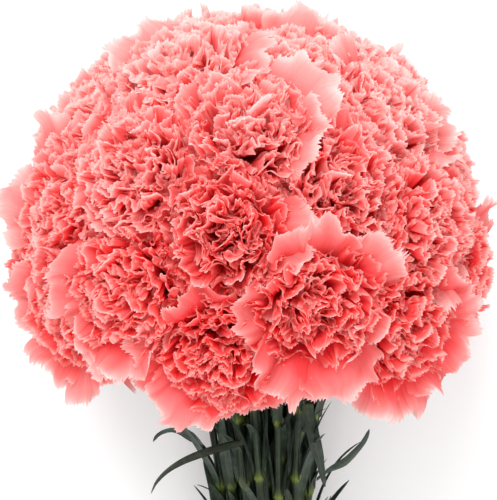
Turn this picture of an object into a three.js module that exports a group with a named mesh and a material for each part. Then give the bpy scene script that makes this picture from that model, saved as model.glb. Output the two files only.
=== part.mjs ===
// A bunch of cut carnations, held by a rubber band and laid on a table.
//
// The bunch has its own frame: +Y runs along the stems to the top of the dome of flowers, +Z is the side
// that lies uppermost, and the origin is the centre of the dome. The whole bunch is then tilted about X,
// because the dome props the flower end up while the cut ends touch the table.
import * as THREE from "three";
import { LoftGeometry } from "three/addons/geometries/LoftGeometry.js";

// Driving dimensions, in millimetres.
const BUNCH_LENGTH = 540; // top of the dome to the cut ends
const DOME_RADIUS = 132; // centre of the dome to the tips of the petals
const BED_HEIGHT = 68; // centre of the dome above the table: the flowers underneath are pressed flat

const FLOWER_COUNT = 27;
const HEAD_DIAMETER = 78; // across the spread outer petals of one flower
const HEAD_HEIGHT = 40; // petals above the mouth of the calyx
const HEAD_STAGGER = 5; // how far a head stands in or out of the dome
const LEAD_PROMINENCE = 7; // how far the foremost head stands out of the dome
const HEAD_GAP = 0.6; // between two heads that press on each other

const CALYX_LENGTH = 28;
const CALYX_DIAMETER = 13;
const STEM_DIAMETER = 5;
const STEM_GAP = 3.5; // between two stems in the band: their thick leaf joints keep them apart
const STEM_BEND = 30; // length over which a stem turns into its flower's direction
const STEM_LEAN = 12; // how far the dome stands to one side of the stems in the band
const CUT_STAGGER = 6; // how unevenly the ends are cut
const CALYX_CLEARANCE = 0.4; // between the calyx and the petals that fill its mouth

const BAND_BELOW_DOME = 265; // centre of the dome to the middle of the band
const BAND_WIDTH = 6;
const BAND_THICKNESS = 1.6;
const BAND_CLEARANCE = 0.3;

const LEAF_WIDTH = 9;
const LEAF_THICKNESS = 1.2;
const LEAF_CLEARANCE = 0.6; // between a leaf's foot and the stems

// Angles.
const RIM_ANGLE = THREE.MathUtils.degToRad(92); // from the dome's top to the lowest ring of heads
const LEAD_POLAR = THREE.MathUtils.degToRad(80); // where the foremost head sits: from the dome's top,
const LEAD_ROUND = THREE.MathUtils.degToRad(74); // and round the bunch from +X towards +Z
const GOLDEN_ANGLE = Math.PI * (3 - Math.sqrt(5));

// Mesh fineness.
const HEAD_SEGMENTS = 14;
const STEM_SIDES = 8;
const STEM_CURVE_STEPS = 7;
const LEAF_STEPS = 9;
const BAND_STEPS = 56;

const MOUTH_RADIUS = DOME_RADIUS - HEAD_HEIGHT; // centre of the dome to the mouths of the calyxes
const HEAD_MIDDLE = MOUTH_RADIUS + HEAD_HEIGHT / 2; // and to the middles of the heads
const CUT_Y = DOME_RADIUS - BUNCH_LENGTH;
const BAND_Y = -BAND_BELOW_DOME;
const STEM_RADIUS = STEM_DIAMETER / 2;
const AXIS = new THREE.Vector3(0, 1, 0);

const petalMaterial = new THREE.MeshStandardMaterial({ color: 0xf98a84, roughness: 0.75, metalness: 0 });
const stemMaterial = new THREE.MeshStandardMaterial({ color: 0x5d7350, roughness: 0.6, metalness: 0 });
const leafMaterial = new THREE.MeshStandardMaterial({ color: 0x6b8172, roughness: 0.65, metalness: 0 });
const bandMaterial = new THREE.MeshStandardMaterial({ color: 0xc9a46a, roughness: 0.8, metalness: 0 });

function numbered(name, index) {
  return `${name}_${String(index + 1).padStart(2, "0")}`;
}

// A direction from the dome's top by its polar angle, and by its angle round the bunch from +X towards +Z.
function direction(polar, round) {
  return new THREE.Vector3(
    Math.sin(polar) * Math.cos(round),
    Math.cos(polar),
    Math.sin(polar) * Math.sin(round),
  );
}

// Keeps a direction on the dome: no further from its top than the rim, and clear of the table.
function keepOnDome(dir, lowest) {
  dir.z = Math.max(dir.z, lowest);
  dir.y = Math.max(dir.y, Math.cos(RIM_ANGLE));
  dir.normalize();
}

// The heads push each other apart until they share the dome evenly. The first one is the foremost and
// stays where it is.
function spreadHeads() {
  const lowest = -(BED_HEIGHT - 0.42 * HEAD_DIAMETER) / HEAD_MIDDLE;
  const rounds = 400;
  const pushPower = 5;
  const spacing = Math.sqrt((2 * Math.PI) / FLOWER_COUNT);
  const heads = Array.from({ length: FLOWER_COUNT }, (_, i) => {
    const dir = direction(RIM_ANGLE * Math.sqrt((i + 0.5) / FLOWER_COUNT), i * GOLDEN_ANGLE);
    keepOnDome(dir, lowest);
    return dir;
  });
  heads[0].copy(direction(LEAD_POLAR, LEAD_ROUND));
  for (let round = 0; round < rounds; round++) {
    const step = 0.08 * spacing * (1 - round / rounds);
    const pushes = heads.map((a) => {
      const push = new THREE.Vector3();
      for (const b of heads) {
        const apart = a.distanceTo(b);
        if (apart > 0) push.addScaledVector(a.clone().sub(b), (spacing / apart) ** pushPower / apart);
      }
      return push;
    });
    for (let i = 1; i < heads.length; i++) {
      heads[i].addScaledVector(pushes[i], step / Math.max(1, pushes[i].length())).normalize();
      keepOnDome(heads[i], lowest);
    }
  }
  return heads;
}

// Where each stem passes through the band: the stems keep their places round the bunch, and the band draws
// them together until their joints touch.
function packStems(heads) {
  const reach = STEM_DIAMETER + STEM_GAP;
  const places = heads.map((dir) => {
    const polar = Math.acos(dir.y);
    const across = new THREE.Vector2(dir.x, dir.z);
    return across.setLength(Math.max(polar, 0.05) * 3 * reach);
  });
  const pushApart = () => {
    for (let i = 0; i < places.length; i++) {
      for (let j = i + 1; j < places.length; j++) {
        const between = places[j].clone().sub(places[i]);
        const missing = reach - between.length();
        if (missing <= 0) continue;
        between.setLength(missing / 2);
        places[i].sub(between);
        places[j].add(between);
      }
    }
  };
  for (let round = 0; round < 300; round++) {
    const middle = new THREE.Vector2();
    for (const place of places) middle.add(place);
    middle.divideScalar(places.length);
    for (const place of places) place.sub(middle).multiplyScalar(0.985);
    for (let sweep = 0; sweep < 6; sweep++) pushApart();
  }
  for (let sweep = 0; sweep < 400; sweep++) pushApart();
  for (const place of places) place.x += STEM_LEAN;
  return places;
}

const heads = spreadHeads();
const stemPlaces = packStems(heads);
const prominence = heads.map((_, i) => (i === 0 ? LEAD_PROMINENCE : HEAD_STAGGER * Math.sin(2.4 * i)));
const cutLength = heads.map((_, i) => CUT_STAGGER * (0.5 + 0.5 * Math.sin(1.9 * i + 1)));

// The bunch tilts until the first stem end touches the table.
const tilt = Math.min(
  ...stemPlaces.map((place, i) => {
    const along = -(CUT_Y + cutLength[i]);
    const below = place.y - STEM_RADIUS;
    return Math.asin(BED_HEIGHT / Math.hypot(along, below)) + Math.atan2(below, along);
  }),
);
const up = new THREE.Vector3(0, Math.sin(tilt), Math.cos(tilt));

// Half-spaces that hold one head: its side of the wall to each neighbour, and the room above the table.
function wallsOf(index) {
  const centreOf = (i) => heads[i].clone().multiplyScalar(HEAD_MIDDLE + prominence[i]);
  const centre = centreOf(index);
  const walls = [];
  heads.forEach((_, other) => {
    if (other === index) return;
    const normal = centreOf(other).sub(centre);
    const apart = normal.length();
    normal.divideScalar(apart);
    const share = (apart + prominence[index] - prominence[other] - HEAD_GAP) / 2;
    walls.push({ normal, limit: centre.dot(normal) + share });
  });
  walls.push({ normal: up.clone().negate(), limit: BED_HEIGHT });
  return walls;
}

// Profile of a free head, from the middle of its underside over the outer petals to its top.
function headProfile() {
  const edge = HEAD_DIAMETER / 2;
  const mouth = CALYX_DIAMETER / 2;
  return [
    new THREE.Vector2(0, CALYX_CLEARANCE),
    new THREE.Vector2(0.9 * mouth, CALYX_CLEARANCE),
    new THREE.Vector2(0.6 * edge, 0.08 * HEAD_HEIGHT),
    new THREE.Vector2(edge, 0.14 * HEAD_HEIGHT),
    new THREE.Vector2(0.98 * edge, 0.36 * HEAD_HEIGHT),
    new THREE.Vector2(0.78 * edge, 0.76 * HEAD_HEIGHT),
    new THREE.Vector2(0.42 * edge, 0.96 * HEAD_HEIGHT),
    new THREE.Vector2(0, HEAD_HEIGHT),
  ];
}

// One head of petals: a free head whose surface is pressed back to the walls where it passes them.
function makeHead(index) {
  const geometry = new THREE.LatheGeometry(headProfile(), HEAD_SEGMENTS, index);
  const mouth = heads[index].clone().multiplyScalar(MOUTH_RADIUS + prominence[index]);
  const turn = new THREE.Quaternion().setFromUnitVectors(AXIS, heads[index]);
  geometry.applyQuaternion(turn).translate(mouth.x, mouth.y, mouth.z);
  const walls = wallsOf(index);
  const position = geometry.getAttribute("position");
  const point = new THREE.Vector3();
  for (let i = 0; i < position.count; i++) {
    point.fromBufferAttribute(position, i);
    for (let round = 0; round < 30; round++) {
      for (const { normal, limit } of walls) {
        const past = point.dot(normal) - limit;
        if (past > 0) point.addScaledVector(normal, -past);
      }
    }
    position.setXYZ(i, point.x, point.y, point.z);
  }
  const mesh = new THREE.Mesh(geometry, petalMaterial);
  mesh.name = numbered("flower_head", index);
  return mesh;
}

// Skins rings of points along a path. Each station has a place, a direction, and a ring given by
// outline(angle), which returns how far to go across and out; the rings turn as little as they can.
function skin(stations, sides, across) {
  const side = across.clone();
  const sections = stations.map(({ place, along, outline }) => {
    side.addScaledVector(along, -side.dot(along)).normalize();
    const out = new THREE.Vector3().crossVectors(side, along);
    return Array.from({ length: sides }, (_, k) => {
      const [a, b] = outline((-2 * Math.PI * k) / sides);
      return place.clone().addScaledVector(side, a).addScaledVector(out, b);
    });
  });
  return new LoftGeometry(sections, { capStart: true, capEnd: true });
}

function circle(radius) {
  return (angle) => [radius * Math.cos(angle), radius * Math.sin(angle)];
}

// The middle line of each stem's bent part, from the band to the foot of its calyx, as a few points.
function bendStems() {
  return heads.map((dir, i) => {
    const foot = dir.clone().multiplyScalar(MOUTH_RADIUS + prominence[i] - CALYX_LENGTH);
    const band = new THREE.Vector3(stemPlaces[i].x, BAND_Y, stemPlaces[i].y);
    const rise = 0.35 * (foot.y - band.y);
    return new THREE.CubicBezierCurve3(
      band,
      band.clone().addScaledVector(AXIS, rise),
      foot.clone().addScaledVector(dir, -STEM_BEND),
      foot,
    ).getPoints(STEM_CURVE_STEPS);
  });
}

// Stems that come too close push each other aside. Their ends at the band and at the calyx stay put.
function easeApart(lines) {
  const reach = STEM_DIAMETER + STEM_GAP / 4;
  const perStep = 8;
  const sample = (line, k) => {
    const from = Math.min(Math.floor(k / perStep), STEM_CURVE_STEPS - 1);
    return line[from].clone().lerp(line[from + 1], k / perStep - from);
  };
  const shift = (line, k, by) => {
    const at = Math.round(k / perStep);
    if (at > 0 && at < STEM_CURVE_STEPS) line[at].add(by);
  };
  for (let round = 0; round < 40; round++) {
    const samples = lines.map((line) =>
      Array.from({ length: STEM_CURVE_STEPS * perStep + 1 }, (_, k) => sample(line, k)),
    );
    for (let i = 0; i < lines.length; i++) {
      for (let j = i + 1; j < lines.length; j++) {
        samples[i].forEach((a, ka) =>
          samples[j].forEach((b, kb) => {
            const between = b.clone().sub(a);
            const missing = reach - between.length();
            if (missing <= 0) return;
            between.setLength(missing / 4);
            shift(lines[j], kb, between);
            shift(lines[i], ka, between.negate());
          }),
        );
      }
    }
  }
  return lines;
}

const stemLines = easeApart(bendStems());

// One stem with its calyx, from the cut end to the calyx's mouth.
function makeStem(index) {
  const place = stemPlaces[index];
  const straight = (y) => ({
    place: new THREE.Vector3(place.x, y, place.y),
    along: AXIS,
    outline: circle(STEM_RADIUS),
  });
  const stations = [straight(CUT_Y + cutLength[index]), straight(BAND_Y)];
  const line = stemLines[index];
  const foot = line[STEM_CURVE_STEPS];
  for (let step = 1; step <= STEM_CURVE_STEPS; step++) {
    const next = step < STEM_CURVE_STEPS ? line[step + 1] : foot.clone().add(heads[index]);
    stations.push({
      place: line[step],
      along: next.clone().sub(line[step - 1]).normalize(),
      outline: circle(STEM_RADIUS),
    });
  }
  const calyxShape = [
    [0.08, 0.34],
    [0.3, 0.46],
    [1, 0.5],
  ];
  for (const [share, width] of calyxShape) {
    stations.push({
      place: foot.clone().addScaledVector(heads[index], share * CALYX_LENGTH),
      along: heads[index],
      outline: circle(width * CALYX_DIAMETER),
    });
  }
  const mesh = new THREE.Mesh(skin(stations, STEM_SIDES, new THREE.Vector3(1, 0, 0)), stemMaterial);
  mesh.name = numbered("stem_and_calyx", index);
  return mesh;
}

// How far the stems reach from the bunch's axis in one direction across it, at one height on the bunch.
function stemReach(y, normal) {
  const reaches = stemPlaces.map((place, i) => {
    const above = stemLines[i].findIndex((point) => point.y > y);
    if (above < 0) return -Infinity;
    if (above === 0) return place.dot(normal);
    const [from, to] = [stemLines[i][above - 1], stemLines[i][above]];
    const point = from.clone().lerp(to, (y - from.y) / (to.y - from.y));
    return point.x * normal.x + point.z * normal.y;
  });
  return Math.max(...reaches) + STEM_RADIUS;
}

// The rubber band: the tightest loop round the stems, with a clearance.
function makeBand() {
  const loop = (extra) =>
    Array.from({ length: BAND_STEPS }, (_, k) => {
      const angle = (2 * Math.PI * k) / BAND_STEPS;
      const normal = new THREE.Vector2(Math.cos(angle), Math.sin(angle));
      const outermost = stemPlaces.reduce((a, b) => (b.dot(normal) > a.dot(normal) ? b : a));
      return outermost.clone().addScaledVector(normal, STEM_RADIUS + BAND_CLEARANCE + extra);
    });
  const shape = new THREE.Shape(loop(BAND_THICKNESS));
  shape.holes.push(new THREE.Path(loop(0)));
  const geometry = new THREE.ExtrudeGeometry(shape, { depth: BAND_WIDTH, bevelEnabled: false });
  geometry.translate(0, 0, -BAND_WIDTH / 2).rotateX(Math.PI / 2).translate(0, BAND_Y, 0);
  const mesh = new THREE.Mesh(geometry, bandMaterial);
  mesh.name = "rubber_band";
  return mesh;
}

// One leaf. It stands on the outside of the bunch at a height and an angle round it, leans away from the
// stems and curls along its length; sweep carries it round the bunch, less towards its tip, and roll
// turns its face.
function makeLeaf(index, { round, below, length, lean, curl, sweep, roll }) {
  const normal = new THREE.Vector2(Math.cos(round), Math.sin(round));
  const outwards = new THREE.Vector3(normal.x, 0, normal.y);
  const sideways = new THREE.Vector3().crossVectors(AXIS, outwards);
  const foot = stemReach(-below, normal) + LEAF_CLEARANCE + LEAF_THICKNESS;
  const place = outwards.clone().multiplyScalar(foot - normal.x * STEM_LEAN).setY(-below);
  place.x += STEM_LEAN;
  const stepLength = length / LEAF_STEPS;
  const stations = [];
  for (let step = 0; step <= LEAF_STEPS; step++) {
    const t = step / LEAF_STEPS;
    const bow = lean + curl * t ** 2;
    const along = new THREE.Vector3()
      .addScaledVector(AXIS, Math.cos(bow))
      .addScaledVector(outwards, Math.sin(bow))
      .addScaledVector(sideways, sweep * (1 - t ** 2))
      .normalize();
    const width = LEAF_WIDTH * (0.7 + 0.3 * Math.sin(Math.PI * t)) * Math.sqrt(1.02 - t * t);
    const thickness = LEAF_THICKNESS * Math.sqrt(1.1 - t);
    const turned = roll * Math.min(1, 3 * t);
    stations.push({
      place: place.clone(),
      along,
      outline: (angle) => {
        const [a, b] = [(width / 2) * Math.cos(angle), (thickness / 2) * Math.sin(angle)];
        return [a * Math.cos(turned) - b * Math.sin(turned), a * Math.sin(turned) + b * Math.cos(turned)];
      },
    });
    place.addScaledVector(along, stepLength);
  }
  const mesh = new THREE.Mesh(skin(stations, 6, sideways), leafMaterial);
  mesh.name = numbered("leaf", index);
  return mesh;
}

// The leaves that stand clear of the stems: degrees round the bunch, millimetres below the dome's centre,
// length, and how each leans, curls, sweeps and rolls, in radians.
const leaves = [
  { round: 172, below: 136, length: 42, lean: 0.65, curl: 2.5, sweep: 0, roll: -1.1 },
  { round: 115, below: 112, length: 66, lean: 2.0, curl: 1.1, sweep: -1.5, roll: 0 },
  { round: 8, below: 158, length: 50, lean: 0.9, curl: -0.8, sweep: 0, roll: 1.1 },
  { round: 57, below: 90, length: 52, lean: 2.85, curl: -0.1, sweep: 0.1, roll: 0.1 },
  { round: 40, below: 305, length: 96, lean: 0.3, curl: 1.5, sweep: -0.1, roll: 0.4 },
].map((leaf) => ({ ...leaf, round: THREE.MathUtils.degToRad(leaf.round) }));

const bunch = new THREE.Group();
bunch.rotation.x = tilt;
heads.forEach((_, i) => bunch.add(makeHead(i), makeStem(i)));
leaves.forEach((leaf, i) => bunch.add(makeLeaf(i, leaf)));
bunch.add(makeBand());

// The part's own origin is on the table, under the middle of the laid bunch.
const part = new THREE.Group();
bunch.position.z = BED_HEIGHT;
part.add(bunch);
part.updateMatrixWorld(true);
const box = new THREE.Box3().setFromObject(part, true);
bunch.position.x -= (box.min.x + box.max.x) / 2;
bunch.position.y -= (box.min.y + box.max.y) / 2;

export default part;
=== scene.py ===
# %% [markdown]
# # A bunch of cut carnations, laid on its side
#
# Twenty-seven coral carnations are gathered into a dome and held by a rubber band round their stems. A
# carnation's head is a crowd of thin petals: wide fans round the outside, and ruffled, folded ones towards
# the middle, each with a toothed edge. Nothing in it is a simple solid, so every petal is its own sheet.
#
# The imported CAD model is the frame. It says where each flower, stem, leaf and the band is, and each piece
# made here takes its place from the CAD nodes. Lengths are in millimetres until a mesh is made.

# %% Load the frame
import math
import bpy
import numpy as np
from mathutils import Matrix, Vector
from numpy.linalg import norm


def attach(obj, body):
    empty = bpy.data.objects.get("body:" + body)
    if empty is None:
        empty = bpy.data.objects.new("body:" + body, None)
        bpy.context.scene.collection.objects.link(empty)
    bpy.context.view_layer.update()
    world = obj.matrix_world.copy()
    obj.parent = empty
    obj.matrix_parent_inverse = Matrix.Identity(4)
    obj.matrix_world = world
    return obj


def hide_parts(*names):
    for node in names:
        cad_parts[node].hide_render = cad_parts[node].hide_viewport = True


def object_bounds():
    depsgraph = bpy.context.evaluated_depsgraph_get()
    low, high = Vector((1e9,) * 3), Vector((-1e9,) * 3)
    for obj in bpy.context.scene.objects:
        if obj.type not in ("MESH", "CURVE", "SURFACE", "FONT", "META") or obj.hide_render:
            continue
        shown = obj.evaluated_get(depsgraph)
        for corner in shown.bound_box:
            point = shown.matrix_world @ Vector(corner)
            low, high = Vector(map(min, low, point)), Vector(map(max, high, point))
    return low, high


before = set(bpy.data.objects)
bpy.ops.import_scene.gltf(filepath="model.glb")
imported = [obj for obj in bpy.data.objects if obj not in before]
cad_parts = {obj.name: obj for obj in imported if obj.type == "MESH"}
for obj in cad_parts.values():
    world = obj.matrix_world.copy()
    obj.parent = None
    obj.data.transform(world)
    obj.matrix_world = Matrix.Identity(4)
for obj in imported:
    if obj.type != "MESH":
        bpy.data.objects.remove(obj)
cad_low, cad_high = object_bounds()
MM = 0.001
TURN = 2 * math.pi


def new_object(name, data):
    thing = bpy.data.objects.new(name, data)
    bpy.context.scene.collection.objects.link(thing)
    return thing


def angles_round(count):
    """Angles evenly spaced round a circle."""
    return np.linspace(0, TURN, count, endpoint=False)


def unit(v):
    """Each vector at length one."""
    return v / np.maximum(norm(v, axis=-1, keepdims=True), 1e-9)


print("bunch, in mm:", [round(x / MM) for x in cad_high - cad_low])

# %% [markdown]
# ## Camera
#
# The bunch lies down and the camera looks down on it, a little from the foot of the bunch, so that the dome
# shows its front. A long lens far away keeps the flowers at the edge as large as those in the middle.

# %% Camera
CAMERA_LEAN = math.radians(20.5)  # from straight above, towards the flowers
CAMERA_DISTANCE = 1.355  # m
LENS_MM = 172
BELOW_TOP = 0.1355  # m from the far end of the dome to the middle of the view
LOOK_HEIGHT = 0.066  # m above the table


def aim(thing, location, target, up):
    """Puts thing at location with its -Z axis on target and its +Y axis as near up as it can be."""
    back = (Vector(location) - Vector(target)).normalized()
    right = Vector(up).cross(back).normalized()
    turn = Matrix((right, back.cross(right), back)).transposed().to_4x4()
    thing.matrix_world = Matrix.Translation(location) @ turn


look_at = Vector((-0.001, cad_high.y - BELOW_TOP, LOOK_HEIGHT))
away = Vector((0, math.sin(CAMERA_LEAN), math.cos(CAMERA_LEAN)))
camera_data = bpy.data.cameras.new("camera")
camera_data.lens = LENS_MM
camera = new_object("camera", camera_data)
aim(camera, look_at + away * CAMERA_DISTANCE, look_at, (0, 1, 0))
bpy.context.scene.camera = camera
print("camera", [round(x, 3) for x in camera.matrix_world.translation], "m, lens", LENS_MM, "mm")

# %% [markdown]
# ## Reading the CAD nodes
#
# A CAD stem is a tube skinned over rings of points, and so is a leaf. Walking the mesh from the ring at its
# foot, edge by edge, gives the rings back in order. The middles of the rings are the line that the stem or
# leaf follows. The last ring of a stem is the mouth of its calyx, where the petals begin, and the step up to
# it is the way the flower faces.


# %% Rings of a CAD node
END_SLACK = 3  # mm, how far along a stem the points of its first ring may spread


def points_and_neighbours(node):
    """The points of a CAD node in mm, each one once, and for each the points that an edge joins to it."""
    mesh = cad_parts[node].data
    points = np.array([v.co for v in mesh.vertices]) / MM
    unique, same = np.unique(np.round(points, 3), axis=0, return_inverse=True)
    touching = [set() for _ in unique]
    for a, b in (same.reshape(-1)[list(edge.vertices)] for edge in mesh.edges):
        if a != b:
            touching[a].add(b)
            touching[b].add(a)
    return unique, touching


def walk(unique, touching, first):
    """Layers of points, one edge apart, from the first ring."""
    seen, layer, layers = set(first), list(first), []
    while layer:
        layers.append(unique[layer])
        reached = {b for a in layer for b in touching[a]} - seen
        seen |= reached
        layer = sorted(reached)
    return layers


def stem_rings(index):
    """The rings of one stem, from the cut end to the mouth of the calyx."""
    unique, touching = points_and_neighbours(f"stem_and_calyx_{index:02d}")
    cut = [i for i, p in enumerate(unique) if p[1] < unique[:, 1].min() + END_SLACK]
    return walk(unique, touching, cut)


FLOWERS = sum(name.startswith("flower_head_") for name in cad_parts)
stem_lines = [np.array([ring.mean(0) for ring in stem_rings(index + 1)]) for index in range(FLOWERS)]
mouths = np.array([line[-1] for line in stem_lines])
axes = unit(mouths - np.array([line[-2] for line in stem_lines]))
# Every flower faces away from the dome's centre, so that is the point nearest to all their axes.
across = np.eye(3) - axes[:, :, None] * axes[:, None, :]
dome_centre = np.linalg.solve(across.sum(0), (across @ mouths[:, :, None]).sum(0)[:, 0])
prominence = norm(mouths - dome_centre, axis=1)
prominence -= prominence.mean()
print(FLOWERS, "flowers, rings per stem", len(stem_lines[0]), "dome centre", dome_centre.round(1))

# %% [markdown]
# ## Nodes and colours
#
# A material's nodes are easier to read when one line adds each, with its settings and links. Colours are
# written as they look on a screen, in sRGB, and turned to the linear values that light is added up in.


# %% Helpers for materials
def linear(code):
    """An sRGB colour such as "#FF8070" as linear RGBA."""
    parts = [int(code[i : i + 2], 16) / 255 for i in (1, 3, 5)]
    return (*(p / 12.92 if p <= 0.04045 else ((p + 0.055) / 1.055) ** 2.4 for p in parts), 1)


def add(material, kind, settings=None, **links):
    """Adds a shader node, and gives back its outputs. settings sets its properties. links gives its inputs,
    each by its name or as i and its number, a value, a colour code or a socket."""
    tree = material.node_tree
    node = tree.nodes.new("ShaderNode" + kind)
    for name, value in (settings or {}).items():
        setattr(node, name, value)
    for name, value in links.items():
        key = int(name[1:]) if name[1:].isdigit() else name.replace("_", " ")
        if isinstance(value, bpy.types.NodeSocket):
            tree.links.new(value, node.inputs[key])
        else:
            node.inputs[key].default_value = linear(value) if isinstance(value, str) else value
    return node.outputs


def ramp(material, factor, *stops):
    """A colour ramp over factor. Each stop is (position, colour code)."""
    colour = add(material, "ValToRGB", Fac=factor)["Color"]
    elements = colour.node.color_ramp.elements
    while len(elements) < len(stops):
        elements.new(0.5)
    for element, (position, code) in zip(elements, stops):
        element.position = position
        element.color = linear(code)
    return colour


def blend(material, factor, first, second):
    """A colour between two others."""
    return add(material, "Mix", {"data_type": "RGBA"}, Factor=factor, i6=first, i7=second)[2]


def scaled_colour(material, colour, value, low, high, **span):
    """A colour made darker or lighter as value goes from From_Min to From_Max."""
    shade = add(material, "MapRange", Value=value, To_Min=low, To_Max=high, **span)["Result"]
    return add(material, "VectorMath", {"operation": "SCALE"}, Vector=colour, Scale=shade)["Vector"]


def marks_of(material):
    """The three numbers that a piece keeps at each of its points."""
    place = add(material, "Attribute", {"attribute_name": "marks"})["Vector"]
    return add(material, "SeparateXYZ", Vector=place)


def new_material(name):
    material = bpy.data.materials.new(name)
    material.use_nodes = True
    material.node_tree.nodes.clear()
    return material


def finish_material(material, shader):
    add(material, "OutputMaterial", Surface=shader)
    print(material.name, len(material.node_tree.nodes), "nodes")
    return material


# %% [markdown]
# ## Petal
#
# A petal is a film of living cells about a quarter of a millimetre thick. It is matt, like velvet, because
# its cells are domed, and it lets a good part of the light through. Light that passes several petals turns a
# deeper red each time: that is why the folds glow and the edges look pale. So three tenths of this material
# are a plain matt surface, and the rest a translucent one.
#
# A petal's marks are three numbers at each point: how far it is from the claw (0) to the edge (1), where it
# is across, and its tone, from red (0) to pink (1). Both tones go from a deeper colour at the claw, which is
# painted shade for the depths of the flower, to a pale rim, which is a painted highlight where the edges
# catch the light, with faint veins that spread like a fan. Flowers at the top of the dome are painted
# pinkest, as painted light that falls on the top of the dome, and the broad outer petals are pinker too.


# %% Petal material
def petal_material(name, deep, pale):
    """deep and pale each give the colours at the claw, the blade, the edge and the rim of a petal. The claw
    colours are painted shade for the depths, and the rim colours a painted highlight.
    """
    material = new_material(name)
    along, sideways, tone = marks_of(material)
    # Along each petal: painted shade of deeper red at the claw, and a painted highlight at the pale rim.
    red = ramp(material, along, *zip((0.42, 0.78, 0.94, 1.0), deep))
    pink = ramp(material, along, *zip((0.35, 0.62, 0.88, 1.0), pale))
    base = blend(material, tone, red, pink)
    # Veins: 26 from the middle of the petal to its side, which is about one a millimetre at the edge.
    fan = add(material, "CombineXYZ", X=sideways, Y=tone)["Vector"]
    flat = {"noise_dimensions": "2D"}
    veins = add(material, "TexNoise", flat, Vector=fan, Scale=26.0, Detail=2.0)["Fac"]
    colour = scaled_colour(material, base, veins, 0.93, 1.05, From_Min=0.3, From_Max=0.7)
    normal = add(material, "Bump", Height=veins, Strength=0.25, Distance=0.4 * MM)["Normal"]
    matt = {"Roughness": 0.75, "IOR": 1.4, "Specular_IOR_Level": 0.3}
    surface = add(material, "BsdfPrincipled", Base_Color=colour, Normal=normal, **matt)["BSDF"]
    through = add(material, "BsdfTranslucent", Color=colour, Normal=normal)["BSDF"]
    mixed = add(material, "MixShader", Fac=0.7, i1=surface, i2=through)["Shader"]
    return finish_material(material, mixed)


# Gives the eye a soft coral glow, with painted shade of deeper red at the claws and painted highlights at the
# pale edges, and no shine.
carnation_petal = petal_material(
    "carnation_petal",
    ("#FF2039", "#FB424E", "#FF7D7A", "#FFD0CA"),
    ("#FF4857", "#FF8E8F", "#FFBFBB", "#FFECE9"),
)

# %% [markdown]
# ## One petal as a sheet
#
# A flat fan would be easy, but a carnation's petal is longer round its edge than the fan has room for, so it
# buckles into ruffles, as a lettuce leaf does. The line of each ruffled row is drawn the way a river bends:
# its direction swings from side to side like a sine wave, and the row is what you get by walking along it.
# Small swings make pleats; swings past a right angle make folds that overhang. The swing grows from nothing
# at the claw to its most at the edge. No cloth has to be simulated, and every petal comes out different.
#
# A petal in the middle of the flower is short, upright and tightly folded. The outermost ones are long and
# nearly flat. The tables say how each measure changes on the way out.

# %% Petal sheet
ROWS = np.array([0, 0.2, 0.4, 0.55, 0.67, 0.77, 0.85, 0.91, 0.96, 1.0])  # closer where the ruffles are
COLUMNS = 89
V, U = np.meshgrid(ROWS, np.linspace(-1, 1, COLUMNS), indexing="ij")
TOOTH_COLUMNS = 3
TOOTH_DEPTH = [1.0, 2.2]  # mm, in the middle of the flower and on its broadest petals


def grid_faces(rows, columns):
    corner = (np.arange(rows - 1)[:, None] * columns + np.arange(columns - 1)).reshape(-1)
    return np.stack([corner, corner + 1, corner + columns + 1, corner + columns], 1)


PETAL_FACES = grid_faces(len(ROWS), COLUMNS)

# How petals change from the middle of the flower (0) to the outermost (1). The last two are the broad outer
# fans: one that lies on the neighbouring flower (1.5), and one that hangs free at the rim of the dome (2).
LAYER = [0.0, 0.25, 0.5, 0.7, 0.85, 1.0, 1.5, 2.0]
REACH = [3, 13, 24, 33, 40, 45, 48, 46]  # mm from the flower's axis to the petal's edge
RISE = [39, 40, 38, 33, 26, 13, 35, -14]  # mm from the calyx to the edge, along the axis
BOW_OUT = [1, 8, 15, 19, 19, 17, 20, 30]  # control point of the petal's bend
BOW_UP = [22, 22, 20, 18, 15, 12, 30, 14]
HALF_WIDTH = [16, 22, 28, 31, 32, 32, 30, 31]  # mm round the edge, from the middle of the petal
SWING = [2.1, 2.2, 2.1, 2.0, 1.75, 1.4, 1.2, 1.3]  # radians, how far the ruffles turn
RUFFLES = [5.0, 7.0, 8.4, 8.4, 7.2, 5.4, 4.6, 5.0]  # waves across the petal
TWIST = [1.4, 0.9, 0.6, 0.4, 0.25, 0.1, 0.2, 0.2]  # radians either way
STRAY_RISE, STRAY_SHARE = 4.5, 0.08  # mm that some petals stand out by, and their share
RUFFLE_START = 0.25  # how far along the petal the ruffles begin
EDGE_DROP = 0.24  # how much shorter the petal is at its sides
EDGE_LEAN = 2.0  # mm


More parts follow.
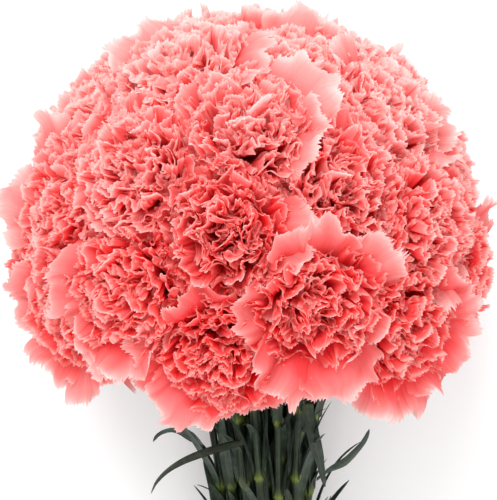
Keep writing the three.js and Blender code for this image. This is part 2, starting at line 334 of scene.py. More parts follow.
def petal(rng, layer, azimuth):
    """One petal in its flower's own frame, in mm: z runs along the flower's axis from the calyx's mouth."""
    value = lambda table: np.interp(layer, LAYER, table)
    size = rng.normal(1, 0.06)
    reach, rise = value(REACH) * rng.normal(1, 0.07), value(RISE) * rng.normal(1, 0.05)
    rise += STRAY_RISE * (rng.uniform() < STRAY_SHARE)
    half_width = value(HALF_WIDTH) * size
    # The ruffled row: walk along it in steps, and let the direction swing.
    grow = np.clip((V - RUFFLE_START) / (1 - RUFFLE_START), 0, 1) ** 1.3
    waves = math.pi * value(RUFFLES) * rng.uniform(0.85, 1.15)
    start = rng.uniform(0, TURN, 3)
    # Two sizes of wave, the small ones stronger in some places than in others, so that no pleat repeats.
    swing = 0.8 * np.sin(waves * 0.37 * U + start[0])
    strength = 0.75 + 0.4 * np.sin(5.1 * U + start[1])
    swing += strength * np.sin(waves * (U + 0.09 * np.sin(4.3 * U + start[2])) + start[1])
    swing += 0.2 * np.sin(waves * 2.3 * U + start[2]) * V**3
    direction = value(SWING) * grow * swing / 1.4
    step = half_width * (0.09 + 0.91 * V**1.15) * 2 / (COLUMNS - 1)
    side = np.cumsum(np.cos(direction) * step, 1)
    fold = np.cumsum(np.sin(direction) * step, 1)
    middle = COLUMNS // 2
    side -= side[:, middle : middle + 1]
    fold -= fold.mean(1, keepdims=True)
    # The edge is rounded, and toothed: some teeth stand out further than others.
    along = V * (1 - EDGE_DROP * U**2 * V)
    teeth = rng.uniform(0.3, 1.2, COLUMNS // TOOTH_COLUMNS + 1)
    stand_out = np.repeat(teeth, TOOTH_COLUMNS)[:COLUMNS]
    tooth = (V == 1.0) * np.resize([1.0, -0.3, -1.0], COLUMNS) * stand_out
    lobes = np.convolve(rng.normal(0, 1.0 + 1.4 * layer**2, COLUMNS), np.ones(7) / 7, "same")
    length = math.hypot(reach, rise)
    along = along + (tooth * np.interp(layer, [0, 1.5], TOOTH_DEPTH) / 2 + V**8 * lobes) / length
    # The bend of the petal's middle line, from the calyx out to the edge.
    root = 0.6 + 3.2 * min(layer, 1)
    bow_out, bow_up = value(BOW_OUT) + root, value(BOW_UP) * rng.normal(1, 0.06)
    a, b, c = (1 - along) ** 2, 2 * along * (1 - along), along**2
    out = a * root + b * bow_out + c * reach
    height = a * 0.5 + b * bow_up + c * rise
    d_out = 2 * ((1 - along) * (bow_out - root) + along * (reach - bow_out))
    d_up = 2 * ((1 - along) * (bow_up - 0.5) + along * (rise - bow_up))
    pace = np.hypot(d_out, d_up)
    t_out, t_up = d_out / pace, d_up / pace
    # An upright petal wraps round the flower; one that lies flat doesn't.
    wrap = max(1.1 * reach, 8)
    upright = np.clip(t_up, 0, 1)
    turn = np.clip(side / wrap, -1.5, 1.5)
    inward = wrap * (1 - np.cos(turn)) * upright
    side = upright * wrap * np.sin(turn) + (1 - upright) * side
    # The edge of each petal leans in or out a little.
    fold = fold + rng.normal(0, EDGE_LEAN) * V**4
    out, height = out - t_up * fold - inward, height + t_out * fold
    # Twist the petal about the line from its claw to its tip.
    twist = rng.uniform(-1, 1) * value(TWIST)
    tip = np.array([reach - root, 0, rise]) / math.hypot(reach - root, rise)
    points = np.stack([out - root, side, height], -1)
    cos, sin = np.cos(twist * V)[..., None], np.sin(twist * V)[..., None]
    on_line = tip * (points @ tip)[..., None]
    points = points * cos + np.cross(tip, points) * sin + on_line * (1 - cos)
    x, y, z = points[..., 0] + root, points[..., 1], points[..., 2]
    c, s = math.cos(azimuth), math.sin(azimuth)
    return np.stack([x * c - y * s, x * s + y * c, z], -1).reshape(-1, 3)


for layer in (0, 0.5, 1, 1.5):
    rows = petal(np.random.default_rng(0), layer, 0.0).reshape(len(ROWS), COLUMNS, 3)
    edge = norm(np.diff(rows[-1], axis=0), axis=1).sum()
    width = norm(rows[-1, 0] - rows[-1, -1])
    print("petal at", layer, ": edge", round(edge), "mm long between sides", round(width), "mm apart")

# %% [markdown]
# ## Building meshes from arrays
#
# There are about two and a half thousand petals, so their points and faces are worked out as whole arrays
# and handed to Blender at once, which is far quicker than adding them one by one. Every piece rides on the
# whole bunch, since nothing in it moves, and hides the CAD node that it stands for, if any.


# %% Mesh helper
def make_piece(name, points, quads, marks, material, slot, *nodes):
    """A piece from points in mm and faces of four corners, the last one repeated where it is a triangle.
    marks: three numbers at each point for the material. nodes: the CAD nodes that the piece stands for."""
    mesh = bpy.data.meshes.new(name)
    mesh.vertices.add(len(points))
    mesh.vertices.foreach_set("co", (points * MM).astype(np.float32).ravel())
    is_tri = quads[:, 2] == quads[:, 3]
    sizes = np.where(is_tri, 3, 4)
    keep = np.ones(quads.shape, bool)
    keep[is_tri, 3] = False
    mesh.loops.add(int(sizes.sum()))
    mesh.loops.foreach_set("vertex_index", quads[keep].astype(np.int32))
    mesh.polygons.add(len(quads))
    mesh.polygons.foreach_set("loop_start", np.concatenate([[0], np.cumsum(sizes)[:-1]]).astype(np.int32))
    mesh.polygons.foreach_set("use_smooth", np.ones(len(quads), bool))
    mesh.update(calc_edges=True)
    mesh.validate()
    attribute = mesh.attributes.new("marks", "FLOAT_VECTOR", "POINT")
    attribute.data.foreach_set("vector", marks.astype(np.float32).ravel())
    mesh.materials.append(material)
    piece = new_object(name, mesh)
    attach(piece, "root")
    if nodes:
        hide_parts(*nodes)
    return piece


def frame_of(axis):
    """Three directions, the last along axis, as the columns of a matrix."""
    x = unit(np.cross([0, 0, 1] if abs(axis[2]) < 0.8 else [1, 0, 0], axis))
    return np.stack([x, np.cross(axis, x), axis], 1)


# %% [markdown]
# ## Soft heads in a full bunch
#
# The soft heads press on each other: a petal that reaches past the wall between two flowers is pushed back,
# and rises instead. The same happens at the table, where the lowest petals are pressed flat. The push grows
# gently with how far a petal has gone past, so it leaves a crush and not a cut. A flower that stands further
# out of the dome gets more of the room, and a slow wave through each head folds its petals together.

# %% Pressing and crumpling
HEAD_HEIGHT = 40  # mm, from the calyx's mouth to the top of the petals
PRESS_START, PRESS_ROOM = 1.0, 14.0  # mm before the wall where a push begins, and how soft it is
PRESS_RISE = 0.4  # how far a pushed petal rises, as a share of the push
TABLE_PRESS = 6.0  # mm above the table where its push begins
NEIGHBOUR = 100  # mm between the middles of two heads that may touch
SHARE_GAIN, SHARE_LIMIT = 1.1, 9  # mm that the wall moves per mm that a flower stands out, and at most
CRUMPLE = 2.6  # mm that the slow wave moves the tops of the petals
head_centres = mouths + axes * HEAD_HEIGHT / 2


def press(points, index, give):
    """Pushes a head's points back from its neighbours and the table. give: how far they may pass, in mm."""
    for other in range(FLOWERS):
        between = head_centres[other] - head_centres[index]
        apart = norm(between)
        if other == index or apart > NEIGHBOUR:
            continue
        normal = between / apart
        stands_out = SHARE_GAIN * (prominence[index] - prominence[other])
        share = apart / 2 + np.clip(stands_out, -SHARE_LIMIT, SHARE_LIMIT)
        past = (points - head_centres[index]) @ normal - share + PRESS_START - give
        pushed = np.where(past > 0, past - PRESS_ROOM * (1 - np.exp(-past / PRESS_ROOM)), 0)
        points = points - pushed[:, None] * (normal - PRESS_RISE * axes[index])
    low = points[:, 2] < TABLE_PRESS
    points[low, 2] = TABLE_PRESS * np.exp((points[low, 2] - TABLE_PRESS) / TABLE_PRESS)
    return points


def crumple(points, rng):
    """A slow wave that all the petals of one head share, so that they fold together."""
    x, y, z = points.T
    grow = CRUMPLE * np.clip(z / HEAD_HEIGHT, 0, 1.2) ** 2
    start = rng.uniform(0, TURN, 4)
    points = points.copy()
    points[:, 0] += grow * np.sin(y / 2.6 + start[0]) * np.cos(x / 5.5 + start[1])
    points[:, 1] += grow * np.sin(x / 2.8 + start[2]) * np.cos(y / 5.0 + start[3])
    points[:, 2] += 0.6 * grow * np.sin(x / 4.2 + y / 3.9 + start[1])
    return points


gaps = norm(head_centres[:, None] - head_centres, axis=2)
gaps[np.eye(FLOWERS, dtype=bool)] = np.inf
print("from a head to the nearest one:", gaps.min(0).min().round(), "to", gaps.min(0).max().round(), "mm")

# %% [markdown]
# ## The broad outer petals
#
# The petals that opened first are the broadest. Where a flower stands at the rim of the dome nothing holds
# them, and they hang down as wide, nearly smooth fans. Elsewhere a few of them lie on the flower next door.
# The foremost flower wears a whole collar of them. Their places there are given as hours on a clock face
# that the camera sees, which is easier to check by eye than an angle.


# %% Broad outer petals
SPOTS = 9  # round a flower, where a broad petal may stand
RESTING, HANGING = 1.5, (2.0, 1.85)  # layers of the petal tables
RESTING_SHARE = 0.16  # of the spots next to another flower
SIDE_COSINE = 0.8  # of the angle within which a flower counts as next to a spot


def clock(index, hour):
    """The azimuth, in a head's own frame, of an hour on a clock face that the camera sees."""
    turn = frame_of(axes[index])
    view = np.array(camera.matrix_world)
    angle = TURN * hour / 12
    way = view[:3, 0] * math.sin(angle) + view[:3, 1] * math.cos(angle)
    return math.atan2(way @ turn[:, 1], way @ turn[:, 0])


def is_free(index, azimuth):
    """Whether nothing stands next to a head on that side."""
    turn = frame_of(axes[index])
    way = turn[:, 0] * math.cos(azimuth) + turn[:, 1] * math.sin(azimuth)
    between = head_centres - head_centres[index]
    apart = norm(between, axis=1)
    crowd = (apart > 1) & (apart < 0.95 * NEIGHBOUR) & (between @ way > SIDE_COSINE * apart)
    return not crowd.any()


# Hours of the broad petals on the foremost flower (0), and on five others round the front of the dome.
PLACED_FANS = {
    0: (11.6, 1.6, 5.3, 7.0, 8.8),
    13: (2.5, 3.4),
    14: (6.2, 7.2),
    19: (7.2, 8.2),
    22: (6.8, 7.8, 8.8),
    24: (2.6, 3.5, 4.3, 5.1, 5.9, 6.7),
}


def outer_fans(index, rng):
    """(layer, azimuth) of the broad petals of one head."""
    placed = [(RESTING, clock(index, hour)) for hour in PLACED_FANS.get(index, ())]
    if index == 0:
        return placed
    spots = angles_round(SPOTS) + rng.uniform(-0.25, 0.25, SPOTS) * TURN / SPOTS + rng.uniform(0, 1)
    fans = []
    for azimuth in spots:
        if is_free(index, azimuth):
            fans += [(HANGING[0], azimuth), (HANGING[1], azimuth + 0.3)]
        elif rng.uniform() < RESTING_SHARE:
            fans.append((RESTING, azimuth))
    return fans + placed


free_sides = [sum(is_free(index, a) for a in angles_round(SPOTS)) for index in range(FLOWERS)]
print("flowers with a free side:", np.count_nonzero(free_sides))

# %% [markdown]
# ## The flower heads
#
# Each new petal of a carnation grows at the golden angle from the one before, so the petals never line up.
# Ninety of them fill a double flower from its middle out, and the broad ones come on top of that. All the
# petals of a flower make one mesh, since they are joined in the calyx. Each has a cell of its own in the
# head's texture map, so that its colours stay sharp.

# %% Flower heads
PETALS = 90
GOLDEN_ANGLE = math.pi * (3 - math.sqrt(5))
TEXTURE_CELLS = 11  # along each side of a head's texture
CELL_MARGIN = 0.04  # round the petal, as a share of its cell
FAN_GIVE = 15.0  # mm that a broad petal may reach over its neighbour
HEAD_SEED, STEM_SEED, LEAF_SEED = 100, 500, 900


def head_uv(count):
    """The place in the texture of every point of count petals, one cell for each."""
    cell = np.repeat(np.arange(count), V.size)
    corner = np.stack([cell % TEXTURE_CELLS, cell // TEXTURE_CELLS], 1)
    inside = np.tile(np.stack([(U.ravel() + 1) / 2, V.ravel()], 1), (count, 1))
    return (corner + CELL_MARGIN + (1 - 2 * CELL_MARGIN) * inside) / TEXTURE_CELLS


def make_head(index):
    """Makes one flower head, and gives back how many petals it has."""
    rng = np.random.default_rng(HEAD_SEED + index)
    sheets, marks, gives = [], [], []
    # Painted light: the flowers at the top of the dome are painted palest, as if lit most from above.
    painted_top_light = (mouths[index][1] - mouths[:, 1].min()) / np.ptp(mouths[:, 1])
    petals = [((k / (PETALS - 1)) ** 0.9, k * GOLDEN_ANGLE + rng.normal(0, 0.15)) for k in range(PETALS)]
    petals += outer_fans(index, rng)
    for layer, azimuth in petals:
        sheets.append(petal(rng, layer, azimuth))
        # The tone is the painted top light, a random part, and a pinker share for the broad outer petals.
        tone = np.clip(0.75 * painted_top_light**1.2 + rng.uniform(-0.15, 0.25) + 0.45 * (layer > 1), 0, 1)
        marks.append(np.stack([V.ravel(), U.ravel(), np.full(V.size, tone)], 1))
        gives.append(np.full(V.size, FAN_GIVE * (layer > 1)))
    points = crumple(np.concatenate(sheets), rng)
    points = mouths[index] + points @ frame_of(axes[index]).T
    points = press(points, index, np.concatenate(gives))
    offsets = np.arange(len(petals))[:, None, None] * V.size
    faces = (PETAL_FACES[None] + offsets).reshape(-1, 4)
    name, node = f"petals_{index + 1:02d}", f"flower_head_{index + 1:02d}"
    head = make_piece(name, points, faces, np.concatenate(marks), carnation_petal, "coral_petal", node)
    corners = np.empty(len(head.data.loops), np.int32)
    head.data.loops.foreach_get("vertex_index", corners)
    uv_map = head.data.uv_layers.new(name="OFBake")
    uv_map.data.foreach_set("uv", head_uv(len(petals))[corners].astype(np.float32).ravel())
    return len(petals)


petal_counts = [make_head(index) for index in range(FLOWERS)]
print(sum(petal_counts), "petals,", sum(petal_counts) * len(PETAL_FACES), "faces")

# %% [markdown]
# ## Tubes and blades
#
# All the green parts are tubes or blades. A tube is rings set across a line, with the ring turned as little
# as possible from one point to the next, so that its ribs run straight along it. A blade is a grid of points
# given a thickness on both sides and closed round its rim, so that it is a solid body like the real leaf.


# %% Helpers for tubes and blades
def smooth_line(points, spacing):
    """Points at about that spacing along a smooth curve through the given ones."""
    points = np.asarray(points, float)
    padded = np.concatenate([[2 * points[0] - points[1]], points, [2 * points[-1] - points[-2]]])
    out = []
    for a, b, c, d in zip(padded, padded[1:], padded[2:], padded[3:]):
        before, gap, after = (norm(v) for v in (b - a, c - b, d - c))
        # Tangents are scaled to the gap, so that gaps of unlike length don't make the curve loop.
        start, end = (c - a) / (gap + before) * gap, (d - b) / (after + gap) * gap
        steps = max(2, round(gap / spacing))
        t = np.arange(steps)[:, None] / steps
        near = (2 * t**3 - 3 * t**2 + 1) * b + (t**3 - 2 * t**2 + t) * start
        out.append(near + (3 * t**2 - 2 * t**3) * c + (t**3 - t**2) * end)
    return np.concatenate(out + [points[-1:]])


def walls(first, second, per_ring):
    """Faces between rings of points. first and second say where the two rings of each wall start."""
    k, first, second = np.arange(per_ring), first[:, None], second[:, None]
    nxt = (k + 1) % per_ring
    return np.stack([first + k, first + nxt, second + nxt, second + k], -1).reshape(-1, 4)


def skin(rings, per_ring):
    """Faces over rings of points, closed by a fan at each end. The two middle points come after the rings."""
    starts = np.arange(rings) * per_ring
    k = np.arange(per_ring)
    nxt, last, foot = (k + 1) % per_ring, starts[-1], np.full(per_ring, rings * per_ring)
    feet = np.stack([nxt, k, foot, foot], 1)
    tops = np.stack([last + k, last + nxt, foot + 1, foot + 1], 1)
    return np.concatenate([walls(starts[:-1], starts[1:], per_ring), feet, tops])


def tube(line, radii, per_ring):
    """A closed tube: rings round a line, with a flat face at each end."""
    along = unit(np.gradient(line, axis=0))
    sides = [np.array([1.0, 0, 0])]
    for direction in along:
        sides.append(unit(sides[-1] - direction * (sides[-1] @ direction)))
    side = np.array(sides[1:])
    out = np.cross(along, side)
    angle = angles_round(per_ring)[None, :, None]
    circle = np.cos(angle) * side[:, None] + np.sin(angle) * out[:, None]
    rings = line[:, None] + circle * radii[:, None, None]
    points = np.concatenate([rings.reshape(-1, 3), line[:1], line[-1:]])
    return points, skin(len(line), per_ring)


def blade(grid, thickness):
    """A closed thin body on both sides of a grid of points."""
    rows, columns = grid.shape[:2]
    normal = unit(np.cross(np.gradient(grid, axis=1), np.gradient(grid, axis=0)))
    half = normal * np.broadcast_to(thickness, (rows, columns))[..., None] / 2
    points = np.concatenate([(grid + half).reshape(-1, 3), (grid - half).reshape(-1, 3)])
    faces = grid_faces(rows, columns)
    count = rows * columns
    index = np.arange(count).reshape(rows, columns)
    rim = np.concatenate([index[0, :], index[1:, -1], index[-1, -2::-1], index[-2:0:-1, 0]])
    after = np.roll(rim, -1)
    edge = np.stack([rim, rim + count, after + count, after], 1)
    return points, np.concatenate([faces[:, ::-1], faces + count, edge])


def joined(parts):
    """Several (points, faces, marks) as one."""
    points, faces, marks = zip(*parts)
    starts = np.cumsum([0] + [len(p) for p in points])
    faces = [f + start for f, start in zip(faces, starts)]
    return np.concatenate(points), np.concatenate(faces), np.concatenate(marks)


print("a tube of 9 rings of 12:", len(skin(9, 12)), "faces")

# %% [markdown]
# ## Waxy green skin
#
# Stems and leaves are a deep green under a thin bluish wax, which rubs off in patches where the bunch was
# handled. Fine ribs run along them. The swollen joints have little wax and a younger, yellower green, and
# the pale pith shows at the cut. One recipe makes both skins: the stems are darker and a little glossier,
# the leaves greyer. The wax is rougher than the bare skin, so colour and roughness share one pattern.
#
# The marks are the place across in mm, for the ribs, how much a point is cut face, and how much it is joint.


# %% Plant materials
PITH = "#C8CE9A"
WAX_SPREAD = 0.12  # of the roughness, either way


def plant_material(name, shadow, green, bloom, joint, ribs_mm, roughness):
    """Waxy plant skin. shadow, green and bloom have ever more wax on them. ribs_mm: from rib to rib."""
    material = new_material(name)
    across, cut_share, joint_share = marks_of(material)
    # Wax is rubbed off in patches about 6 mm across.
    size = {"Scale": 1 / (6 * MM), "Detail": 3.0, "Roughness": 0.6}
    where = add(material, "TexCoord")["Object"]
    patches = add(material, "TexNoise", Vector=where, **size)["Fac"]
    base = ramp(material, patches, (0.25, shadow), (0.5, green), (0.78, bloom))
    ribs = add(material, "Math", {"operation": "MULTIPLY"}, i0=across, i1=TURN / ribs_mm)["Value"]
    wave = add(material, "Math", {"operation": "SINE"}, i0=ribs)["Value"]
    lined = scaled_colour(material, base, wave, 0.88, 1.06, From_Min=-1, From_Max=1)
    jointed = blend(material, joint_share, lined, joint)
    colour = blend(material, cut_share, jointed, PITH)
    normal = add(material, "Bump", Height=wave, Strength=0.35, Distance=0.3 * MM)["Normal"]
    low, high = roughness - WAX_SPREAD, roughness + WAX_SPREAD
    wax = add(material, "MapRange", Value=patches, To_Min=low, To_Max=high)["Result"]
    surface = add(material, "BsdfPrincipled", Base_Color=colour, Roughness=wax, IOR=1.45, Normal=normal)
    return finish_material(material, surface["BSDF"])


# Gives the eye the deep satin green of the stems, with a dull grey bloom and olive joints.
stem_skin = plant_material("carnation_stem_skin", "#141E12", "#202F1A", "#36472F", "#6F7F2A", 1.4, 0.5)
# Gives the eye the matt blue-grey of the leaves, with a lighter line down the middle.
leaf_skin = plant_material("carnation_leaf_wax", "#1C2620", "#2B392E", "#4A5A4A", "#5C6A3A", 0.8, 0.55)

# %% [markdown]
# ## Calyx
#
# At the top the stem widens into the calyx, a ribbed tube with five pointed teeth that holds the petals, with
# four small scales clasping its foot. It is turned like a vase from a profile: up the outside, over the
# teeth, and down inside, so that the petals stand in a real cup.

# %% Calyx
CALYX_LENGTH = 28  # mm
CALYX_RADIUS = 6.5  # mm
TOOTH_LENGTH = 6.0  # mm
CALYX_SIDES = 30
WALL = 0.07  # of the calyx, as a share of its radius
FLOOR = 0.6  # how far up the cup begins, as a share of the length
SCALES = 4
SCALE_LENGTH = 10.0  # mm
SCALE_THICKNESS = 0.35  # mm
# The outline up the outside, as shares of the length and of the radius.
PROFILE = [(0.0, 0.36), (0.04, 0.55), (0.1, 0.74), (0.25, 0.92), (0.5, 1.0), (0.75, 1.0), (0.9, 0.99)]


def calyx_rings(angle):
    """The height and radius of each ring of the calyx, round the angles given, in mm."""
    tooth = np.abs((angle / TURN * 5 + 0.5) % 1 - 0.5) * 2  # 0 between the teeth, 1 at their tips
    even = np.ones(len(angle))
    rings = [(share * CALYX_LENGTH * even, width * CALYX_RADIUS * even) for share, width in PROFILE]
    top = CALYX_LENGTH * 0.94 + TOOTH_LENGTH * tooth
    rings.append((top, CALYX_RADIUS * (1.0 + 0.16 * tooth)))
    rings.append((top - 0.3, CALYX_RADIUS * (1 - WALL + 0.16 * tooth)))
    rings.append((0.8 * CALYX_LENGTH * even, (1 - WALL) * CALYX_RADIUS * even))
    rings.append((FLOOR * CALYX_LENGTH * even, 0.2 * CALYX_RADIUS * even))
    return rings


def round_points(radius, angle, height):
    """Points at an angle and a radius round the axis."""
    return np.stack([radius * np.cos(angle), radius * np.sin(angle), height], -1)


def calyx(index, rng):
    """The calyx and its scales, each as (points, faces, marks)."""
    turn = frame_of(axes[index])
    foot = mouths[index] - axes[index] * CALYX_LENGTH
    angle = angles_round(CALYX_SIDES)
    spin = rng.uniform(0, TURN)
    rings = calyx_rings(angle)
    points = [foot + round_points(radius, angle + spin, height) @ turn.T for height, radius in rings]
    points = np.concatenate([*points, [foot, foot + axes[index] * FLOOR * CALYX_LENGTH]])
    marks = np.zeros((len(points), 3))
    marks[:-2, 0] = np.tile(angle * CALYX_RADIUS, len(rings))
    marks[:, 2] = 0.25
    parts = [(points, skin(len(rings), CALYX_SIDES), marks)]
    for k in range(SCALES):
        # Each scale wraps a third of the way round, and ends in a short point.
        t, u = np.meshgrid(np.linspace(0, 1, 8), np.linspace(-1, 1, 7), indexing="ij")
        around = spin + k * TURN / SCALES + u * 0.85 * (1 - t**2.2)
        height = (0.5 if k % 2 else 1.5) + SCALE_LENGTH * t
        hug = CALYX_RADIUS * np.interp(height / CALYX_LENGTH, *zip(*PROFILE))
        radius = hug + 0.55 + 0.3 * (k % 2) + 0.8 * t**3
        body, faces = blade(foot + round_points(radius, around, height) @ turn.T, SCALE_THICKNESS)
        marks = np.zeros((len(body), 3))
        marks[:, 0] = np.tile((u * 4).ravel(), 2)
        marks[:, 2] = 0.15
        parts.append((body, faces, marks))
    return parts


print("calyx", CALYX_LENGTH, "mm long and", 2 * CALYX_RADIUS, "mm wide, teeth", TOOTH_LENGTH, "mm")

# %% [markdown]
# ## Stems
#
# A carnation's stem is a smooth green rod with a swollen joint every five centimetres or so, where two leaves
# clasp it in a short collar just above the swelling. It follows the middles of the CAD rings, and gets more
# rings of its own at the joints, where its width changes fast. It thickens a little towards the cut.

# %% Stems
STEM_SIDES = 12
STEM_RADIUS = 2.5  # mm
STEM_STEP = 5.0  # mm from ring to ring
JOINT_SPACING = 52  # mm
COLLAR = 7  # mm of clasping leaf above a joint
SWELLING, SWELL_REACH = 0.55, 2.8  # of a joint: share of the radius, and mm along the stem
JOINT_RINGS = (-COLLAR, -4, -2, -1, 0, 1, 2, 3.5)  # mm from the joint


def joint_places(rng, length):
    """How far below the calyx each joint of a stem is, in mm."""
    places = [rng.uniform(45, 75)]
    while places[-1] < length - 40:
        places.append(places[-1] + JOINT_SPACING * rng.uniform(0.85, 1.2))
    return np.array(places[:-1])


def along_line(at, places, values):
    """Points interpolated between values, which stand at the given places."""
    return np.stack([np.interp(at, places, values[:, axis]) for axis in range(3)], 1)


def make_stem(index):
    """Makes one stem with its calyx. Gives back where its joints are, and the way the stem runs there."""
    rng = np.random.default_rng(STEM_SEED + index)
    line = smooth_line(stem_lines[index][:-3], STEM_STEP)
    gaps = norm(np.diff(line, axis=0), axis=1)
    below = np.concatenate([np.cumsum(gaps[::-1])[::-1], [0]])  # how far below the calyx each ring is
    joints = joint_places(rng, below[0])
    extra = np.concatenate([joints + along for along in JOINT_RINGS])
    extra = extra[(extra > 3) & (extra < below[0] - 3)]
    at = np.sort(np.concatenate([below, extra]))[::-1]
    at = at[np.concatenate([[True], np.diff(at) < -0.4])]
    line = along_line(-at, -below, line)
    from_joint = at[:, None] - joints[None]
    swell = np.exp(-((from_joint / SWELL_REACH) ** 2)).max(1)
    collar = ((from_joint < 0) & (from_joint > -COLLAR)).any(1)
    radius = STEM_RADIUS * (0.84 + 0.12 * at / 450) * (1 + SWELLING * swell) + 0.3 * collar
    points, faces = tube(line, radius, STEM_SIDES)
    marks = np.zeros((len(points), 3))
    marks[:-2, 0] = np.tile(angles_round(STEM_SIDES) * STEM_RADIUS, len(line))
    marks[:-2, 2] = np.repeat(np.clip(swell * 0.8 + 0.12 * collar, 0, 1), STEM_SIDES)
    marks[-2, 1] = 1.6  # the middle of the cut face, so that the pale pith reaches most of the way out
    body = joined([(points, faces, marks), *calyx(index, rng)])
    name, node = f"stem_{index + 1:02d}", f"stem_and_calyx_{index + 1:02d}"
    make_piece(name, *body, stem_skin, "carnation_stem", node)
    joint_points = along_line(-joints, -at, line)
    return joint_points, unit(along_line(4 - joints, -at, line) - joint_points)


joints = [make_stem(index) for index in range(FLOWERS)]
print(sum(len(points) for points, _ in joints), "stem joints")

# %% [markdown]
# ## A leaf
#
# A carnation's leaf is narrow and stiff, like a blade of thick grass: channelled near its foot, flatter
# towards its point, and thickest down the middle. The same leaf is drawn along any line, so only the line
# has to be found.

# %% Blade of a leaf
LEAF_ROWS, LEAF_COLUMNS = 22, 9
LEAF_THICKNESS = 0.55  # mm


def leaf(line, sides, width, fold):
    """A leaf along a line of LEAF_ROWS points, as (points, faces, marks). fold: how deep its channel is."""
    t = np.linspace(0, 1, LEAF_ROWS)[:, None]
    u = np.linspace(-1, 1, LEAF_COLUMNS)[None]
    half = width / 2 * (0.78 + 0.22 * np.sin(math.pi * np.minimum(1, 1.4 * t))) * np.sqrt(1.004 - t**2.6)
    channel = fold * (1 - 0.6 * t) * half * np.abs(u) ** 1.4
    along = unit(np.gradient(line, axis=0))
    sides = unit(sides - along * (sides * along).sum(1, keepdims=True))
    up = np.cross(sides, along)
    grid = line[:, None] + sides[:, None] * (u * half)[..., None] + up[:, None] * channel[..., None]
    thick = LEAF_THICKNESS * np.sqrt(1.02 - np.abs(u) ** 3) * np.sqrt(1.05 - t**3)
    points, faces = blade(grid, thick)
    marks = np.zeros((LEAF_ROWS, LEAF_COLUMNS, 3))
    marks[..., 0] = u * half
    marks[..., 2] = 0.28 * np.exp(-((u / 0.12) ** 2)) + 0.3 * np.exp(-t * 14)
    return points, faces, np.tile(marks.reshape(-1, 3), (2, 1))


print("a leaf has", LEAF_ROWS, "by", LEAF_COLUMNS, "points on each side")

# %% [markdown]
# ## The leaves that stand clear of the bunch
#
# Five long leaves arch out from the stems, and the CAD has each of them as a node. Their middle lines come
# from its rings, and so does the way each leaf faces: the long side of a flat ring points across the leaf.

# %% Leaves that stand clear
CAD_LEAF_WIDTH = (8.5, 6.0, 7.0, 9.5, 8.5)  # mm
CAD_LEAF_SIDES = 6  # points in a ring
CLEAR_CHANNEL, JOINT_CHANNEL = 0.35, 0.45  # depth of a leaf's channel, as a share of its half width
TABLE_GAP = (0.3, 0.4)  # mm under a clear leaf, and under the leaves at the joints


def leaf_rings(node):
    """The rings of a CAD leaf from its foot, where they are widest, to its point."""
    unique, touching = points_and_neighbours(node)
    far = unique[norm(unique - unique.mean(0), axis=1).argmax()]
    other = unique[norm(unique - far, axis=1).argmax()]
    ends = [norm(unique - end, axis=1).argsort(kind="stable") for end in (far, other)]
    ends = [nearest[:CAD_LEAF_SIDES] for nearest in ends]
    foot = max(ends, key=lambda ring: np.ptp(unique[ring], axis=0).sum())
    return [ring for ring in walk(unique, touching, foot.tolist()) if len(ring) > 2]


def make_clear_leaf(number):
    """Makes the leaf that stands for one CAD leaf, and gives back its length in mm."""
    node = f"leaf_{number:02d}"
    rings = leaf_rings(node)
    sides = []
    for ring in rings:
        side = np.linalg.svd(ring - ring.mean(0))[2][0]
        sides.append(side if not sides or side @ sides[-1] > 0 else -side)
    even = np.linspace(0, 1, LEAF_ROWS)
    fine = smooth_line([ring.mean(0) for ring in rings], 1.0)
    line = along_line(even, np.linspace(0, 1, len(fine)), fine)
    side = along_line(even, np.linspace(0, 1, len(rings)), np.array(sides))
    points, faces, marks = leaf(line, side, CAD_LEAF_WIDTH[number - 1], CLEAR_CHANNEL)
    points[:, 2] = np.maximum(points[:, 2], TABLE_GAP[0])
    make_piece(f"clear_leaf_{number:02d}", points, faces, marks, leaf_skin, "carnation_leaf", node)
    return norm(np.diff(line, axis=0), axis=1).sum()


lengths = [make_clear_leaf(number + 1) for number in range(len(CAD_LEAF_WIDTH))]
print("leaves that stand clear:", [round(length) for length in lengths], "mm long")

# %% [markdown]
# ## The pairs of leaves at the joints
#
# Two narrow leaves clasp each joint, opposite each other, and each pair stands across the one below. Inside
# the bunch they are pressed between the stems and lie nearly along them. Only the outer ones have room to
# curl away. Where the band goes the leaves are stripped off, as a florist does, so that it grips the stems.

# %% Leaves at the joints
BARE = (-90, 6)  # mm along the stems from the band, without leaves
LEAF_LENGTH = (52, 84)  # mm
LEAF_WIDTH = (6, 9)  # mm
bunch_axis = unit(stem_lines[0][1] - stem_lines[0][0])
band_places = np.array([line[1] for line in stem_lines])  # where each stem passes through the band
bundle_middle = band_places.mean(0)


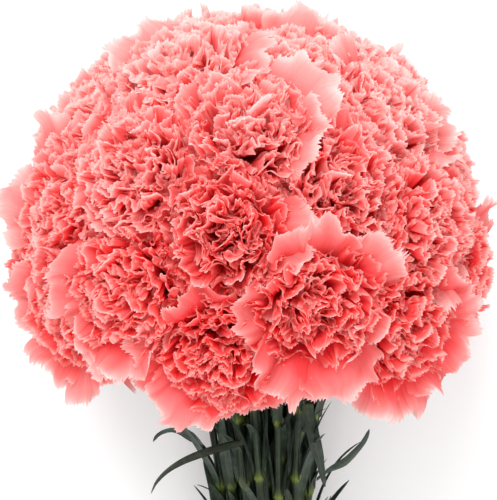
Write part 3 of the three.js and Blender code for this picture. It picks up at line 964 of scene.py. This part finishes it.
def joint_leaves(index):
    """Makes the pairs of leaves at one stem's joints as one piece, and gives back how many there are."""
    rng = np.random.default_rng(LEAF_SEED + index)
    parts = []
    spin = rng.uniform(0, math.pi)
    for order, (place, ahead) in enumerate(zip(*joints[index])):
        from_middle = place - bundle_middle
        above_band = from_middle @ bunch_axis
        if BARE[0] < above_band < BARE[1]:
            continue
        turn = frame_of(ahead)
        from_middle = unit(from_middle - bunch_axis * above_band)
        for pair in range(2):
            angle = spin + order * math.pi / 2 + pair * math.pi + rng.normal(0, 0.15)
            outward = turn[:, 0] * math.cos(angle) + turn[:, 1] * math.sin(angle)
            free = np.clip(outward @ from_middle, 0, 1)  # a leaf on the outside has room to bend
            lean = 0.1 + 0.25 * free * rng.uniform(0.4, 1.2)
            curl = (0.1 + 0.8 * free) * rng.uniform(0.0, 1.2)
            length = rng.uniform(*LEAF_LENGTH)
            t = np.linspace(0, 1, LEAF_ROWS)
            bow = lean * np.minimum(1, t * 6) + curl * t**2
            step = length / (LEAF_ROWS - 1)
            out, rise = (np.append(0, np.cumsum(way(bow[:-1]) * step)) for way in (np.sin, np.cos))
            side = np.cross(ahead, outward)
            drift = rng.normal(0, 0.12) * length * t**2
            start = place + outward * (STEM_RADIUS * 0.95)
            line = start + ahead * rise[:, None] + outward * out[:, None] + side * drift[:, None]
            sides = np.repeat(side[None], LEAF_ROWS, 0)
            parts.append(leaf(line, sides, rng.uniform(*LEAF_WIDTH), JOINT_CHANNEL))
    points, faces, marks = joined(parts)
    points[:, 2] = np.maximum(points[:, 2], TABLE_GAP[1])
    make_piece(f"joint_leaves_{index + 1:02d}", points, faces, marks, leaf_skin, "carnation_leaf")
    return len(parts)


print(sum(joint_leaves(index) for index in range(FLOWERS)), "leaves at the joints")

# %% [markdown]
# ## Rubber band
#
# The band is one loop of natural rubber wound round the stems several times, its turns side by side. Rubber
# pulls itself straight between the stems that it touches. So for every direction across the bunch the
# outermost stem is found, and the band lies just outside it: it always touches stems and cuts through none.


# %% Rubber band
def rubber_material():
    """Gives the eye the dull tan of a natural rubber band, a little glossier than the leaves."""
    material = new_material("natural_rubber")
    where = add(material, "TexCoord")["Object"]
    # The grain of the talc and the mould, 0.8 mm across.
    grain = add(material, "TexNoise", Vector=where, Scale=1 / (0.8 * MM), Detail=3.0)["Fac"]
    colour = ramp(material, grain, (0.3, "#A9763C"), (0.7, "#C79A5B"))
    normal = add(material, "Bump", Height=grain, Strength=0.2, Distance=0.2 * MM)["Normal"]
    rubber = add(material, "BsdfPrincipled", Base_Color=colour, Roughness=0.55, IOR=1.52, Normal=normal)
    return finish_material(material, rubber["BSDF"])


BAND_TURNS = 3
BAND_POINTS = 120  # round the bunch
BAND_SECTION = 10  # points round the rubber's own section
BAND_PITCH = 2.05  # mm from one turn to the next
BAND_LIFT = 1.1  # mm from a stem's skin to the middle of the rubber
BAND_HALF = [0.8, 0.95]  # mm, half the thickness and half the width of the rubber
band_x = unit(np.cross(bunch_axis, [0, 0, 1]))
band_z = np.cross(band_x, bunch_axis)
angles = angles_round(BAND_POINTS)
normals = band_x * np.cos(angles)[:, None] + band_z * np.sin(angles)[:, None]
around = angles_round(BAND_SECTION)
section = np.stack([np.cos(around), np.sin(around)], 1)
section = np.sign(section) * np.abs(section) ** 0.6 * BAND_HALF  # nearly square, with round corners
starts = np.arange(BAND_POINTS) * BAND_SECTION
loop_faces = walls(starts, np.roll(starts, -1), BAND_SECTION)
band_parts = []
for number in range(BAND_TURNS):
    outermost = band_places[(normals @ band_places.T).argmax(1)]
    slide = BAND_PITCH * (number - 1) + 0.25 * np.sin(3 * angles + number)
    loop = outermost + normals * (STEM_RADIUS + BAND_LIFT) + bunch_axis * slide[:, None]
    points = loop[:, None] + normals[:, None] * section[None, :, :1] + bunch_axis * section[None, :, 1:]
    band_parts.append((points.reshape(-1, 3), loop_faces, np.zeros((points.size // 3, 3))))
points, faces, marks = joined(band_parts)
make_piece("rubber_band_turns", points, faces, marks, rubber_material(), "rubber_band", "rubber_band")
print("rubber band,", BAND_TURNS, "turns,", np.ptp(points @ band_x).round(1), "mm across")

# %% [markdown]
# ## Table and light
#
# The bunch lies on a white table. White paint is matt, so the table gives back soft light from below and no
# mirror image. The world is a bright white room, which keeps the shadows between the petals open. One soft
# lamp beyond the flowers makes the tops of the folds pale and lets light come through the petals, and a
# weaker one at the front shows the stems.

# %% Table and light
table_mesh = bpy.data.meshes.new("table")
table_mesh.from_pydata([(-3, -3, 0), (3, -3, 0), (3, 3, 0), (-3, 3, 0)], [], [(0, 1, 2, 3)])
table = new_object("table", table_mesh)
table.location.z = -0.3 * MM  # just under the lowest petals, so that no two faces lie in one plane
paint = new_material("white_table_paint")
coat = add(paint, "BsdfPrincipled", Base_Color="#F7F7F7", Roughness=0.9)
table_mesh.materials.append(finish_material(paint, coat["BSDF"]))

world = bpy.data.worlds.new("studio")
bpy.context.scene.world = world
world.use_nodes = True
background = world.node_tree.nodes["Background"]
background.inputs["Color"].default_value = (1, 1, 1, 1)
background.inputs["Strength"].default_value = 0.95


def area_light(name, location, size, power):
    """A square lamp that faces the flowers. location and size in m, power in W."""
    data = bpy.data.lights.new(name, "AREA")
    data.shape = "SQUARE"
    data.size = size
    data.energy = power
    aim(new_object(name, data), location, look_at, (0, 0, 1) if location[2] < 1.5 else (0, 1, 0))
    print(name, "lamp", round((Vector(location) - look_at).length, 2), "m away,", power, "W")


area_light("key", (-0.3, 1.5, 1.1), 0.9, 30)
area_light("front", (0.3, -0.8, 1.6), 1.2, 8)
bpy.context.scene.view_settings.view_transform = "Standard"
